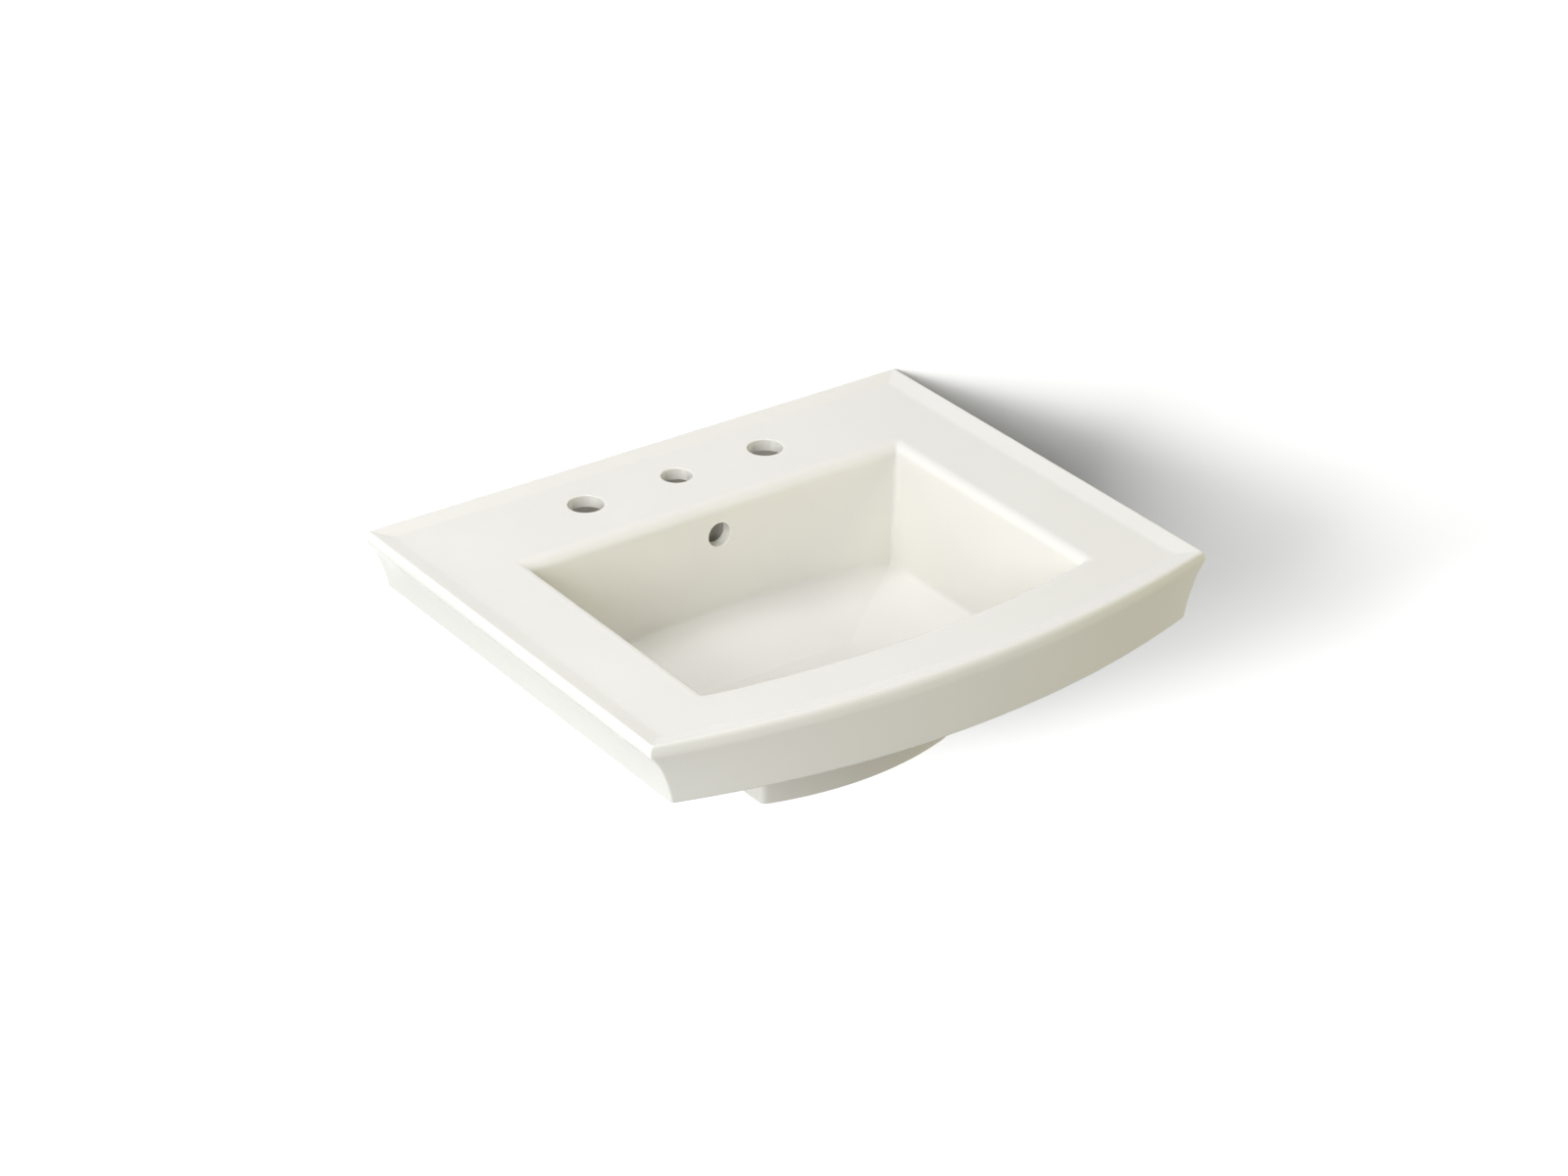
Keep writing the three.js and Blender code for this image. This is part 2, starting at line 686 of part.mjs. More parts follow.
// Ratchet ring: six slanted teeth round its top turn it a sixth of a turn for each press.
function latchRotor() {
  const top = COLLAR_BOTTOM + FIT_GAP;
  const teeth = 6;
  const body = ring(1.8 + FIT_GAP, PIECE_RADIUS, top, ROTOR_BOTTOM);
  const notches = Array.from({ length: teeth }, (_, i) => {
    const geometry = new THREE.BoxGeometry(3, 1.6, 2.4);
    geometry.rotateX(0.5);
    geometry.translate(PIECE_RADIUS, 0, 0);
    geometry.rotateZ((i * 2 * Math.PI) / teeth);
    geometry.translate(0, DRAIN_Y, below(top));
    return solid(geometry);
  });
  return carved(body, notches);
}

class Helix extends THREE.Curve {
  constructor(radius, top, bottom, turns) {
    super();
    Object.assign(this, { radius, top, bottom, turns });
  }

  getPoint(t, target = new THREE.Vector3()) {
    const angle = t * this.turns * 2 * Math.PI;
    const z = mix(this.bottom, this.top, t);
    return target.set(this.radius * Math.cos(angle), DRAIN_Y + this.radius * Math.sin(angle), z);
  }
}

// Coil spring under the rotor.
function latchSpring() {
  const wire = 0.45;
  const top = below(ROTOR_BOTTOM + FIT_GAP + wire);
  const bottom = below(HOUSING_BOTTOM - 2 - FIT_GAP - wire);
  const path = new Helix(4.6, top, bottom, 7);
  const section = new THREE.Shape();
  section.absarc(0, 0, wire, 0, 2 * Math.PI);
  const geometry = new THREE.ExtrudeGeometry(section, {
    extrudePath: path,
    steps: 84,
    curveSegments: 3,
  });
  return outward(geometry.index ? geometry : mergeVertices(geometry));
}

// Domed cap, screwed on the stem.
function plugCap() {
  const rise = PLUG_LIFT;
  const level = (depth) => below(depth - rise);
  return turned([
    [0, level(150.3)],
    [6, level(150.3)],
    [6, level(148.4)],
    [17, level(147.4)],
    [CAP_RADIUS - 0.8, level(146.6)],
    [CAP_RADIUS, level(145.8)],
    [CAP_RADIUS - 0.5, level(144.9)],
    [CAP_RADIUS - 5, level(144)],
    [8, level(143.4)],
    [0, level(143.2)],
  ], 0, DRAIN_Y);
}

// Rubber ring under the cap that closes on the flange's cone.
function plugSeal() {
  const level = (depth) => below(depth - PLUG_LIFT);
  return turned([
    [6.3, level(150.2)],
    [15.5, level(150.2)],
    [SEAL_RADIUS, level(148.6)],
    [SEAL_RADIUS, level(147.5)],
    [17, level(147.7)],
    [6.3, level(148.7)],
  ], 0, DRAIN_Y);
}

// ---------------------------------------------------------------- assembly

const sink = new THREE.Group();

function addBasin() {
  sink.add(named('basin', basin(), CHINA));
}

function addHangers() {
  for (const [side, x] of [['left', -HANGER_X], ['right', HANGER_X]]) {
    sink.add(
      named(`hanger_stud_${side}`, hangerStud(x), ZINC),
      named(`hanger_bush_${side}`, hangerBush(x), NYLON),
      named(`hanger_washer_${side}`, hangerWasher(x), ZINC),
      named(`hanger_nut_${side}`, hangerNut(x), ZINC),
    );
  }
}

function addWaste() {
  sink.add(
    named('waste_body', wasteBody(), CHROME),
    named('flange_gasket', flangeGasket(), RUBBER),
    named('under_gasket', underGasket(), RUBBER),
    named('slip_washer', slipWasher(), NYLON),
    named('lock_nut', lockNut(), BRASS),
    named('latch_housing', latchHousing(), ACETAL),
    named('latch_nut', latchNut(), BRASS),
    named('latch_spring', latchSpring(), SPRING_STEEL),
    named('latch_rotor', latchRotor(), ACETAL),
    named('plug_stem', plugStem(), BRASS),
    named('plug_seal', plugSeal(), RUBBER),
    named('plug_cap', plugCap(), CHROME),
  );
}

addBasin();
addHangers();
addWaste();

export default sink;
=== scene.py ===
"""Looks of a bow-front pedestal basin, its push-button waste and its wall hangers.

Millimetres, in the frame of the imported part: +X to the right, +Y into the wall, +Z up. The basin is
given by depths below the crest of its rim. A level is the seven numbers that `outline` takes."""

import math

import bpy
import numpy as np
from mathutils import Matrix, Vector


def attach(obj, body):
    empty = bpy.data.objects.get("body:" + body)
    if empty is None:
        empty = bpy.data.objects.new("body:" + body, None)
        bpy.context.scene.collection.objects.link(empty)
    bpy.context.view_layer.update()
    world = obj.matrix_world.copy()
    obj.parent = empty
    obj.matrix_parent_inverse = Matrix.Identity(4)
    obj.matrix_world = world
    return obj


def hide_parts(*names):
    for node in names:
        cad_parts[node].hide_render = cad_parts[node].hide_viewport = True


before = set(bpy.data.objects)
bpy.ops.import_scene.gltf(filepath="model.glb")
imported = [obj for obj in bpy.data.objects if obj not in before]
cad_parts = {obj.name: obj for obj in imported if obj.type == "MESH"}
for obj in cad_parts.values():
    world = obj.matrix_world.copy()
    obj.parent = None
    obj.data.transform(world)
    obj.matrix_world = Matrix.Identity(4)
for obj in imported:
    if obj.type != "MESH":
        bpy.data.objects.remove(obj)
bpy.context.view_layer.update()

# ---------------------------------------------------------------- dimensions, in millimetres

RIM_Z = 38.0
WALL = 11.0
FIT_GAP = 0.3  # between a bore and what passes through it
DECK_DEPTH = 5.0
DECK_UNDER = 17.0
SKIRT_DEPTH = 62.4
FLOOR_DEPTH = 145.0  # flat bottom of the bowl
BOSS_DEPTH = 184.0  # underside of the boss round the outlet
BOSS_RADIUS = 40.0

CREST_HALF = 298.0  # half width at the crest of the rim
BEAD_BULGE = 4.6
BEAD_DEPTH = 7.0
SKIRT_HALF = 281.0  # half width at the bottom edge of the skirt
FRONT_ROUND = 13.0  # depth over which the front edge rounds into the front face
BACK_ROUND = 3.0
BOWL_LIP = 11.0

FOOT_DEPTH = 187.4
FOOT_HALF = 105.0
FOOT_WALL = 12.0
FOOT_BACK = -175.0
FOOT_CORNER = -353.0  # where the foot's sides meet its bowed front
FOOT_APEX = -371.0

TAP_Y = -62.5
TAP_SPREAD = 101.6
SIDE_TAP_RADIUS = 17.3
MIDDLE_TAP_RADIUS = 15.0
TAP_LIP = 1.2

OVERFLOW_DEPTH = 37.7
OVERFLOW_RADIUS = 12.0
DUCT_BACK = -113.0
DUCT_HALF = 18.0
DUCT_WALL = 10.0
DUCT_ROOF = 160.0
DUCT_FLOOR = 175.0
DUCT_START = 24.0  # top of the water way, behind the overflow hole
DUCT_RING = 29.0  # radius of the ring round the outlet

DRAIN_Y = -275.0
DRAIN_RADIUS = 22.5
DRAIN_SEAT = 149.5  # where the flange sits
OUTLET_CLEAR = 30.0  # the duct's china stops at this radius, so it can't fill the outlet
BODY_RADIUS = 20.9
BORE_RADIUS = 17.5
BODY_END = 233.0
HUB_TOP = 196.0
HUB_BOTTOM = 202.0
HUB_RADIUS = 11.5
HUB_BORE = 7.8  # also the bore of the latch's nut
WINDOW_HALF = 7.0  # half width of the overflow windows in the barrel
CLEAR_BORE = BODY_RADIUS + FIT_GAP  # of the rings that slide over the barrel

HANGER_X = 178.0
HANGER_HOLE = 7.0
STUD_RADIUS = 5.0

PIPE_PITCH = 2.209  # of the 1 1/4 inch pipe thread
STUD_PITCH = 1.5
WOOD_PITCH = 3.6

AXIS = 0.05  # the radius that stands for a point on the axis of a turned piece

scene = bpy.context.scene


def below(depth):
    """Height of a depth under the crest of the rim."""
    return RIM_Z - depth


# ---------------------------------------------------------------- meshes


def mesh_object(name, points, faces):
    """A mesh object in metres from points in millimetres."""
    mesh = bpy.data.meshes.new(name)
    mesh.from_pydata([tuple(c / 1000 for c in p) for p in points], [], faces)
    mesh.validate()
    mesh.update()
    made = bpy.data.objects.new(name, mesh)
    scene.collection.objects.link(made)
    return made


def face_outwards(made):
    """Turns every face outwards, from the sign of the enclosed volume."""
    mesh = made.data
    mesh.calc_loop_triangles()
    co = np.empty(len(mesh.vertices) * 3)
    mesh.vertices.foreach_get("co", co)
    co = co.reshape(-1, 3)
    tri = np.empty(len(mesh.loop_triangles) * 3, np.int32)
    mesh.loop_triangles.foreach_get("vertices", tri)
    a, b, c = (co[tri.reshape(-1, 3)[:, k]] for k in range(3))
    volume = float((a * np.cross(b, c)).sum())
    if volume < 0:
        mesh.flip_normals()
    return made


def rings_object(name, rings, closed):
    """A solid through rings of equal length: a loop if closed, capped at both ends if not."""
    count = len(rings[0])
    points = [p for ring in rings for p in ring]
    faces = []
    spans = len(rings) if closed else len(rings) - 1
    for level in range(spans):
        a = level * count
        b = ((level + 1) % len(rings)) * count
        for i in range(count):
            j = (i + 1) % count
            faces += [(a + i, a + j, b + j), (a + i, b + j, b + i)]
    if not closed:
        faces.append(tuple(range(count))[::-1])
        last = (len(rings) - 1) * count
        faces.append(tuple(last + i for i in range(count)))
    return face_outwards(mesh_object(name, points, faces))


def soften(profile, cut, steps=4):
    """Rounds each inner corner of an open polyline of vectors, cutting it back by up to `cut`.

    `cut` is one length for all corners, or a list with one length per inner corner."""
    points = [np.array(p, float) for p in profile]
    cuts = cut if isinstance(cut, (list, tuple)) else [cut] * (len(points) - 2)
    made = [points[0]]
    for k in range(1, len(points) - 1):
        before, here, after = points[k - 1], points[k], points[k + 1]
        size = cuts[k - 1]
        if size <= 0:
            made.append(here)
            continue
        back = np.linalg.norm(before - here)
        ahead = np.linalg.norm(after - here)
        start = here + (before - here) * min(size / back, 0.48)
        end = here + (after - here) * min(size / ahead, 0.48)
        for i in range(steps + 1):
            t = i / steps
            made.append((1 - t) ** 2 * start + 2 * t * (1 - t) * here + t * t * end)
    made.append(points[-1])
    return made


def off_axis(profile):
    """An open profile without an end that is level with its neighbour: a flat cap closes it."""
    first = 1 if profile[0][1] == profile[1][1] else 0
    last = -1 if profile[-1][1] == profile[-2][1] else None
    return profile[first:last]


def turned(name, profile, x=0.0, y=0.0, facets=96, closed=True, along="z", spin=0.0):
    """A solid of revolution about the upright through (x, y), or along +Y through x and height y.

    The profile lists (radius, position along the axis): a closed loop, or open with both ends on
    the axis. A radius may be a function of the share of a turn, which makes a thread. `spin` turns
    the first facet by that share of a facet."""
    hand = 1 if along == "z" else -1
    rings = []
    for radius, place in profile if closed else off_axis(profile):
        ring = []
        for i in range(facets):
            angle = 2 * math.pi * (i + spin) / facets
            reach = radius(hand * i / facets) if callable(radius) else radius
            across, up = reach * math.cos(angle), reach * math.sin(angle)
            upright = (x + across, y + up, place)
            ring.append(upright if along == "z" else (x + across, place, y + up))
        rings.append(ring)
    return rings_object(name, rings, closed)


def thread(radius, start, end, pitch, cut, steps=8):
    """Profile points of a right-hand thread that runs out at both ends, for `turned`."""
    count = round(abs(end - start) / pitch * steps)

    def row(place, depth):
        def reach(turn):
            wave = abs(2 * ((place / pitch - turn) % 1) - 1)
            return radius - depth * min(1.0, max(0.0, 1.4 * wave - 0.2))

        return reach, place

    made = []
    for k in range(count + 1):
        run_out = min(1.0, k / steps, (count - k) / steps)
        made.append(row(start + (end - start) * k / count, cut * run_out))
    return made


def block(name, low, high):
    """An upright box, as a cutter."""
    (left, right), (front, back), heights = zip(low, high)
    corners = [(left, front), (right, front), (right, back), (left, back)]
    rings = [[(x, y, z) for x, y in corners] for z in heights]
    return rings_object(name, rings, False)


def combine(target, tool, operation):
    """Joins the tool to the target, or cuts it away, and removes the tool."""
    modifier = target.modifiers.new("combine", "BOOLEAN")
    modifier.operation = operation
    modifier.object = tool
    modifier.solver = "MANIFOLD"
    bpy.context.view_layer.update()
    evaluated = target.evaluated_get(bpy.context.evaluated_depsgraph_get())
    mesh = bpy.data.meshes.new_from_object(evaluated)
    target.modifiers.remove(modifier)
    target.data = mesh
    bpy.data.objects.remove(tool)
    return target


def shade(made, degrees=28.0):
    """Smooth shading that stays crisp along edges sharper than the angle, weighted by face area."""
    mesh = made.data
    mesh.polygons.foreach_set("use_smooth", [True] * len(mesh.polygons))
    mesh.set_sharp_from_angle(angle=math.radians(degrees))
    weighted = made.modifiers.new("even shading", "WEIGHTED_NORMAL")
    weighted.keep_sharp = True
    weighted.weight = 60
    return made


# ---------------------------------------------------------------- bow-front outlines

SIDE_STEPS = 14
FRONT_STEPS = 56
CORNER_STEPS = 6


def outline(level):
    """A level ring: straight back and sides, front bowed from corner to apex, corners rounded.

    A level is (half width, back, front corner, front apex, depth, corner radius, crown)."""
    half, back, corner, apex, depth, radius, crown = (float(v) for v in level)
    sag = max(corner - apex, 1e-3)
    bow = (half * half + sag * sag) / (2 * sag)

    def front(x):
        return apex + bow - math.sqrt(bow * bow - x * x)

    points = []

    def straight(start, end, steps):
        for i in range(steps):
            t = i / steps
            points.append((start[0] + (end[0] - start[0]) * t, start[1] + (end[1] - start[1]) * t))

    def rounded(start, tip, end):
        for i in range(CORNER_STEPS):
            t = i / CORNER_STEPS
            a, b, c = (1 - t) ** 2, 2 * t * (1 - t), t * t
            points.append(tuple(a * p + b * q + c * r for p, q, r in zip(start, tip, end)))

    inner = half - radius
    straight((-inner, back), (inner, back), FRONT_STEPS // 2)
    rounded((inner, back), (half, back), (half, back - radius))
    straight((half, back - radius), (half, corner + radius), SIDE_STEPS)
    rounded((half, corner + radius), (half, corner), (inner, front(inner)))
    for i in range(FRONT_STEPS):
        x = inner - 2 * inner * i / FRONT_STEPS
        points.append((x, front(x)))
    rounded((-inner, front(inner)), (-half, corner), (-half, corner + radius))
    straight((-half, corner + radius), (-half, back - radius), SIDE_STEPS)
    rounded((-half, back - radius), (-half, back), (-inner, back))
    ring = []
    for x, y in points:
        at_back = y > back - radius - 1e-6
        lift = crown * (1 - (x / half) ** 2) if at_back else 0.0
        ring.append((x, y, below(depth) + lift))
    return ring


def circle_like(ring, radius, depth, centre=(0.0, DRAIN_Y)):
    """A circle with one point for each point of a ring, in the same direction from the centre."""
    made = []
    for ring_x, ring_y, _ in ring:
        angle = math.atan2(ring_y - centre[1], ring_x - centre[0])
        x, y = centre[0] + radius * math.cos(angle), centre[1] + radius * math.sin(angle)
        made.append((x, y, below(depth)))
    return made


# ---------------------------------------------------------------- the basin


def ellipse(share):
    """How far a quarter ellipse still stands back, from 1 at its start to 0 at its end."""
    return 1 - math.sqrt(max(0.0, 1 - (1 - share) ** 2))


def side_profile():
    """(half width, depth) of the outside, from the crest down: bead, then cove."""
    made = []
    for i in range(11):
        angle = i / 10 * math.pi / 2
        made.append((CREST_HALF + BEAD_BULGE * math.sin(angle), BEAD_DEPTH * (1 - math.cos(angle))))
    for i in range(19):
        t = i / 18
        a, b, c = (1 - t) ** 2, 2 * t * (1 - t), t * t
        half = a * (CREST_HALF + BEAD_BULGE - 0.3) + b * (CREST_HALF - 10) + c * SKIRT_HALF
        made.append((half, a * 10 + b * 26 + c * SKIRT_DEPTH))
    return made


def skirt_level(half, depth):
    """Level of the outside at a depth, from its half width there."""
    t = max(0.0, (depth - FRONT_ROUND) / (SKIRT_DEPTH - FRONT_ROUND))
    front = ellipse(depth / FRONT_ROUND) if depth < FRONT_ROUND else 0.0
    back = BACK_ROUND * ellipse(depth / BACK_ROUND) if depth < BACK_ROUND else 0.0
    return (half, -back, -476 + 1.5 * t + 3 * front, -517.5 - 2.5 * t + 8 * front, depth, 2.5, 0)


def half_at(depth):
    """Half width of the outside at a depth."""
    depths = [d for _, d in side_profile()]
    halves = [h for h, _ in side_profile()]
    return float(np.interp(depth, depths, halves))


def skirt_inside(depth, inset):
    """Level of the hollow under the deck, `inset` inside the skirt's outside."""
    half, _, corner, apex, _, _, _ = skirt_level(half_at(depth), depth)
    return (half - inset, -inset, corner + inset, apex + inset, depth, 8, 0)


def basin_rings():
    """Every ring of the main body: up the skirt, over the rim, down the bowl, back underneath."""
    outside = [skirt_level(half, depth) for half, depth in side_profile()][::-1]
    low_inner = skirt_inside(SKIRT_DEPTH, WALL)
    edge = soften([outside[1], outside[0], low_inner, skirt_inside(50, WALL)], 2.4, 4)
    crest = outside[-1]
    deck = (280.5, -17.5, -456.5, -492, DECK_DEPTH, 3, 0)
    lip_start = (218, -118.5, -424.5, -447, DECK_DEPTH, 5, 0)
    lip_end = (207, -133, -414, -436, DECK_DEPTH + BOWL_LIP, 5, 0)
    inwards = (265, -32, -446, -478, DECK_DEPTH, 3, 0)
    rim = soften([outside[-4], crest, deck, inwards], [2.2, 6.0], 6)
    top = outside[2:-4] + rim
    lip = []
    for i in range(13):
        angle = i / 12 * math.pi / 2
        mixed = [a + (b - a) * math.sin(angle) for a, b in zip(lip_start, lip_end)]
        mixed[4] = DECK_DEPTH + BOWL_LIP * (1 - math.cos(angle))
        lip.append(tuple(mixed))
    lower = [
        (206, -133.5, -410, -432, 26, 5, 0),
        (201.5, -136, -391, -413, 75, 5, 4),
        (196.6, -138.2, -368, -389.6, 126, 2, 12),
        (92, -216, -330, -333, FLOOR_DEPTH, 0.6, 0),
        (84, -222, -326, -328, FLOOR_DEPTH, 0.5, 0),
    ]
    bowl = soften([lip[-1]] + lower, [3, 20, 5, 3.5], 7)[1:]
    hollow = [outline(level) for level in top + lip + bowl]
    flat = hollow[-1]
    seat = [(36.4, FLOOR_DEPTH), (35.6, 145.3), (34.9, 146.2), (33.5, DRAIN_SEAT)]
    seat += [(DRAIN_RADIUS, DRAIN_SEAT), (DRAIN_RADIUS, BOSS_DEPTH)]
    hollow += [circle_like(flat, radius, depth) for radius, depth in seat]
    shell = [
        (96, -212, -336, -340, 156, 8, 0),
        (200, -135, -369, -391, 140, 12, 12),
        (207.5, -127.5, -377, -400, 127, 14, 12),
        (219, -121, -426, -448, 24, 14, 0),
        (226, -112, -433, -455, DECK_UNDER, 14, 0),
    ]
    shell = soften(shell, [6, 5, 8], 4)
    under = [circle_like(outline(shell[0]), BOSS_RADIUS, depth) for depth in (BOSS_DEPTH, 158)]
    under += [outline(level) for level in shell]
    roof = [(DECK_UNDER, WALL + 6), (DECK_UNDER + 2, WALL + 1.8), (24, WALL)]
    roof = [skirt_inside(depth, inset) for depth, inset in roof]
    under += [outline(level) for level in soften(roof, 2, 3)]
    under += [outline(skirt_inside(depth, WALL)) for depth in (32, 42)]
    under += [outline(level) for level in edge[::-1][1:-1]]
    return hollow + under


def foot():
    """Front and two sides of the foot, open at the back where the pipes run to the wall."""

    def ring(inset, back, depth):
        corner, apex = FOOT_CORNER + inset, FOOT_APEX + inset
        return outline((FOOT_HALF - inset, back, corner, apex, depth, 6, 0))

    seat = [(0, 125), (0, 186), (0.4, 186.9), (1.4, FOOT_DEPTH)]
    outer = rings_object("foot_outer", [ring(inset, FOOT_BACK, d) for inset, d in seat], False)
    inner = rings_object("foot_inner", [ring(FOOT_WALL, 0, d) for d in (120, 190)], False)
    return combine(outer, inner, "DIFFERENCE")


def duct_walls():
    """China round the overflow duct: down behind the bowl, then forward under its floor.

    It is cleared round the outlet, where the boss of the main body takes over."""

    def section(front, depth, shrink=0.0):
        half, back = DUCT_HALF + DUCT_WALL - shrink, DUCT_BACK + DUCT_WALL - shrink
        return outline((half, back, front, front - 1, depth, 12, 0))

    keel = [(170, 0), (178, 1.8), (BOSS_DEPTH, 6)]
    down = [section(-140, depth, shrink) for depth, shrink in [(11, 4), (DUCT_START, 0)] + keel]
    along = [section(DRAIN_Y, depth, shrink) for depth, shrink in [(140, 0)] + keel]
    walls = combine(
        rings_object("duct_down", down, False), rings_object("duct_along", along, False), "UNION"
    )
    top, bottom = below(FLOOR_DEPTH - 5), below(BOSS_DEPTH + 5)
    clear = [(AXIS, bottom), (OUTLET_CLEAR, bottom), (OUTLET_CLEAR, top), (AXIS, top)]
    return combine(walls, turned("outlet_clear", clear, 0, DRAIN_Y, 96, False), "DIFFERENCE")


def tap_cutter(x, radius):
    """Cuts a tap hole and rounds its upper edge."""
    profile = [(AXIS, 3), (radius + TAP_LIP, 3)]
    for i in range(9):
        angle = i / 8 * math.pi / 2
        across, down = TAP_LIP * (1 - math.sin(angle)), TAP_LIP * (1 - math.cos(angle))
        profile.append((radius + across, DECK_DEPTH + down))
    profile += [(radius, DECK_UNDER + 2), (AXIS, DECK_UNDER + 2)]
    return turned("tap_cutter", [(r, below(d)) for r, d in profile], x, TAP_Y, 96, False)


def overflow_cutter():
    """Cuts the overflow hole through the back wall of the bowl and rounds its edge."""
    radius = OVERFLOW_RADIUS
    lip = [(13.2, -150), (13.2, -134.6), (12.5, -134.2), (12.1, -133.5), (radius, -132.6)]
    profile = [(AXIS, -150)] + lip + [(radius, -118), (AXIS, -118)]
    return turned("overflow_cutter", profile, 0, below(OVERFLOW_DEPTH), 96, False, "y")


def bowl_core():
    """All inside the middle of the bowl's walls and floor: the foot and the duct stop at it."""
    levels = [
        (212, -127, -419, -441, 0, 8, 0),
        (211, -128, -418, -440, 18, 8, 0),
        (202, -133, -373, -395, 127, 8, 12),
        (198, -136.5, -368, -390, 134, 8, 12),
        (94, -214, -333, -336.5, 150.5, 6, 0),
    ]
    return rings_object("bowl_core", [outline(level) for level in levels], False)


def duct_cutters():
    """The water way, from the overflow hole to the ring round the outlet."""
    low, roof = below(DUCT_FLOOR), below(DUCT_ROOF)
    ring = [(AXIS, low), (DUCT_RING, low), (DUCT_RING, roof), (AXIS, roof)]
    start = (DUCT_HALF, DUCT_BACK, below(DUCT_START))
    return [
        block("duct_down", (-DUCT_HALF, DUCT_BACK - 10, low), start),
        block("duct_along", (-DUCT_HALF, DRAIN_Y, low), (DUCT_HALF, DUCT_BACK, roof)),
        turned("duct_ring", ring, 0, DRAIN_Y, 96, False),
    ]


def make_basin():
    """The whole casting, in one mesh."""
    made = rings_object("basin_china", basin_rings(), True)
    for part in (foot(), duct_walls()):
        combine(made, combine(part, bowl_core(), "DIFFERENCE"), "UNION")
    cutters = duct_cutters() + [
        overflow_cutter(),
        tap_cutter(-TAP_SPREAD, SIDE_TAP_RADIUS),
        tap_cutter(0, MIDDLE_TAP_RADIUS),
        tap_cutter(TAP_SPREAD, SIDE_TAP_RADIUS),
    ]
    hole = [(AXIS, -WALL - 2), (HANGER_HOLE, -WALL - 2), (HANGER_HOLE, 2), (AXIS, 2)]
    for x in (-HANGER_X, HANGER_X):
        cutters.append(turned("hanger_cutter", hole, x, 0, 48, False, "y"))
    for cutter in cutters:
        combine(made, cutter, "DIFFERENCE")
    return shade(made, 26)


# ---------------------------------------------------------------- materials


def material(name, color, roughness, metallic=0.0):
    """A Principled material, its nodes and its shader, with the constant values on the sockets."""
    made = bpy.data.materials.new(name)
    made.use_nodes = True
    shader = made.node_tree.nodes["Principled BSDF"]
    shader.inputs["Base Color"].default_value = (*color, 1)
    shader.inputs["Roughness"].default_value = roughness
    shader.inputs["Metallic"].default_value = metallic
    made.diffuse_color = (*color, 1)
    return made, made.node_tree, shader


def noise(tree, scale, detail=2.0, stretch=(1, 1, 1)):
    """Noise fixed to the object, in metres."""
    place = tree.nodes.new("ShaderNodeTexCoord")
    mapping = tree.nodes.new("ShaderNodeMapping")
    mapping.inputs["Scale"].default_value = stretch
    texture = tree.nodes.new("ShaderNodeTexNoise")
    texture.inputs["Scale"].default_value = scale
    texture.inputs["Detail"].default_value = detail
    tree.links.new(place.outputs["Object"], mapping.inputs["Vector"])
    tree.links.new(mapping.outputs["Vector"], texture.inputs["Vector"])
    return texture.outputs["Fac"]


def ranged(tree, value, low, high, start=0.3, end=0.7):
    """A noise value spread over a range."""
    spread = tree.nodes.new("ShaderNodeMapRange")
    spread.inputs["From Min"].default_value = start
    spread.inputs["From Max"].default_value = end
    spread.inputs["To Min"].default_value = low
    spread.inputs["To Max"].default_value = high
    tree.links.new(value, spread.inputs["Value"])
    return spread.outputs["Result"]


def blended(tree, value, first, second):
    """A colour between two, by a value from 0 to 1."""
    ramp = tree.nodes.new("ShaderNodeValToRGB")
    ramp.color_ramp.elements[0].color = (*first, 1)
    ramp.color_ramp.elements[1].color = (*second, 1)
    tree.links.new(value, ramp.inputs["Fac"])
    return ramp.outputs["Color"]


def bumped(tree, shader, value, distance, strength):
    """Raises the surface by a value, over a distance in metres."""
    bump = tree.nodes.new("ShaderNodeBump")
    bump.inputs["Distance"].default_value = distance
    bump.inputs["Strength"].default_value = strength
    tree.links.new(value, bump.inputs["Height"])
    tree.links.new(bump.outputs["Normal"], shader.inputs["Normal"])


def china():
    """Warm white vitreous china under a clear glaze that ripples very slightly."""
    made, tree, shader = material("china", (0.86, 0.84, 0.78), 0.16)
    tint = ranged(tree, noise(tree, 9, 3), 0, 1)
    tree.links.new(
        blended(tree, tint, (0.845, 0.826, 0.765), (0.87, 0.851, 0.79)), shader.inputs["Base Color"]
    )
    tree.links.new(ranged(tree, noise(tree, 30, 2), 0.13, 0.19), shader.inputs["Roughness"])
    bumped(tree, shader, noise(tree, 22, 1), 0.0004, 0.25)
    return made


def bisque():
    """Bare fired clay, where the glaze is wiped off."""
    made, tree, shader = material("bisque", (0.78, 0.74, 0.66), 0.85)
    tint = ranged(tree, noise(tree, 120, 6), 0, 1)
    tree.links.new(
        blended(tree, tint, (0.70, 0.66, 0.58), (0.82, 0.79, 0.72)), shader.inputs["Base Color"]
    )
    bumped(tree, shader, noise(tree, 900, 4), 0.0002, 0.6)
    return made


def metal(name, color, roughness, grain, stretch=(1, 1, 12)):
    """A metal with a fine grain in its gloss and its surface, and slightly darker patches."""
    made, tree, shader = material(name, color, roughness, 1.0)
    fine = noise(tree, grain, 3, stretch)
    gloss = ranged(tree, fine, roughness * 0.75, roughness * 1.35)
    tree.links.new(gloss, shader.inputs["Roughness"])
    darker = tuple(c * 0.88 for c in color)
    patches = ranged(tree, noise(tree, grain / 12, 2), 0, 1)
    tree.links.new(blended(tree, patches, darker, color), shader.inputs["Base Color"])
    bumped(tree, shader, fine, 0.00003, 0.3)
    return made


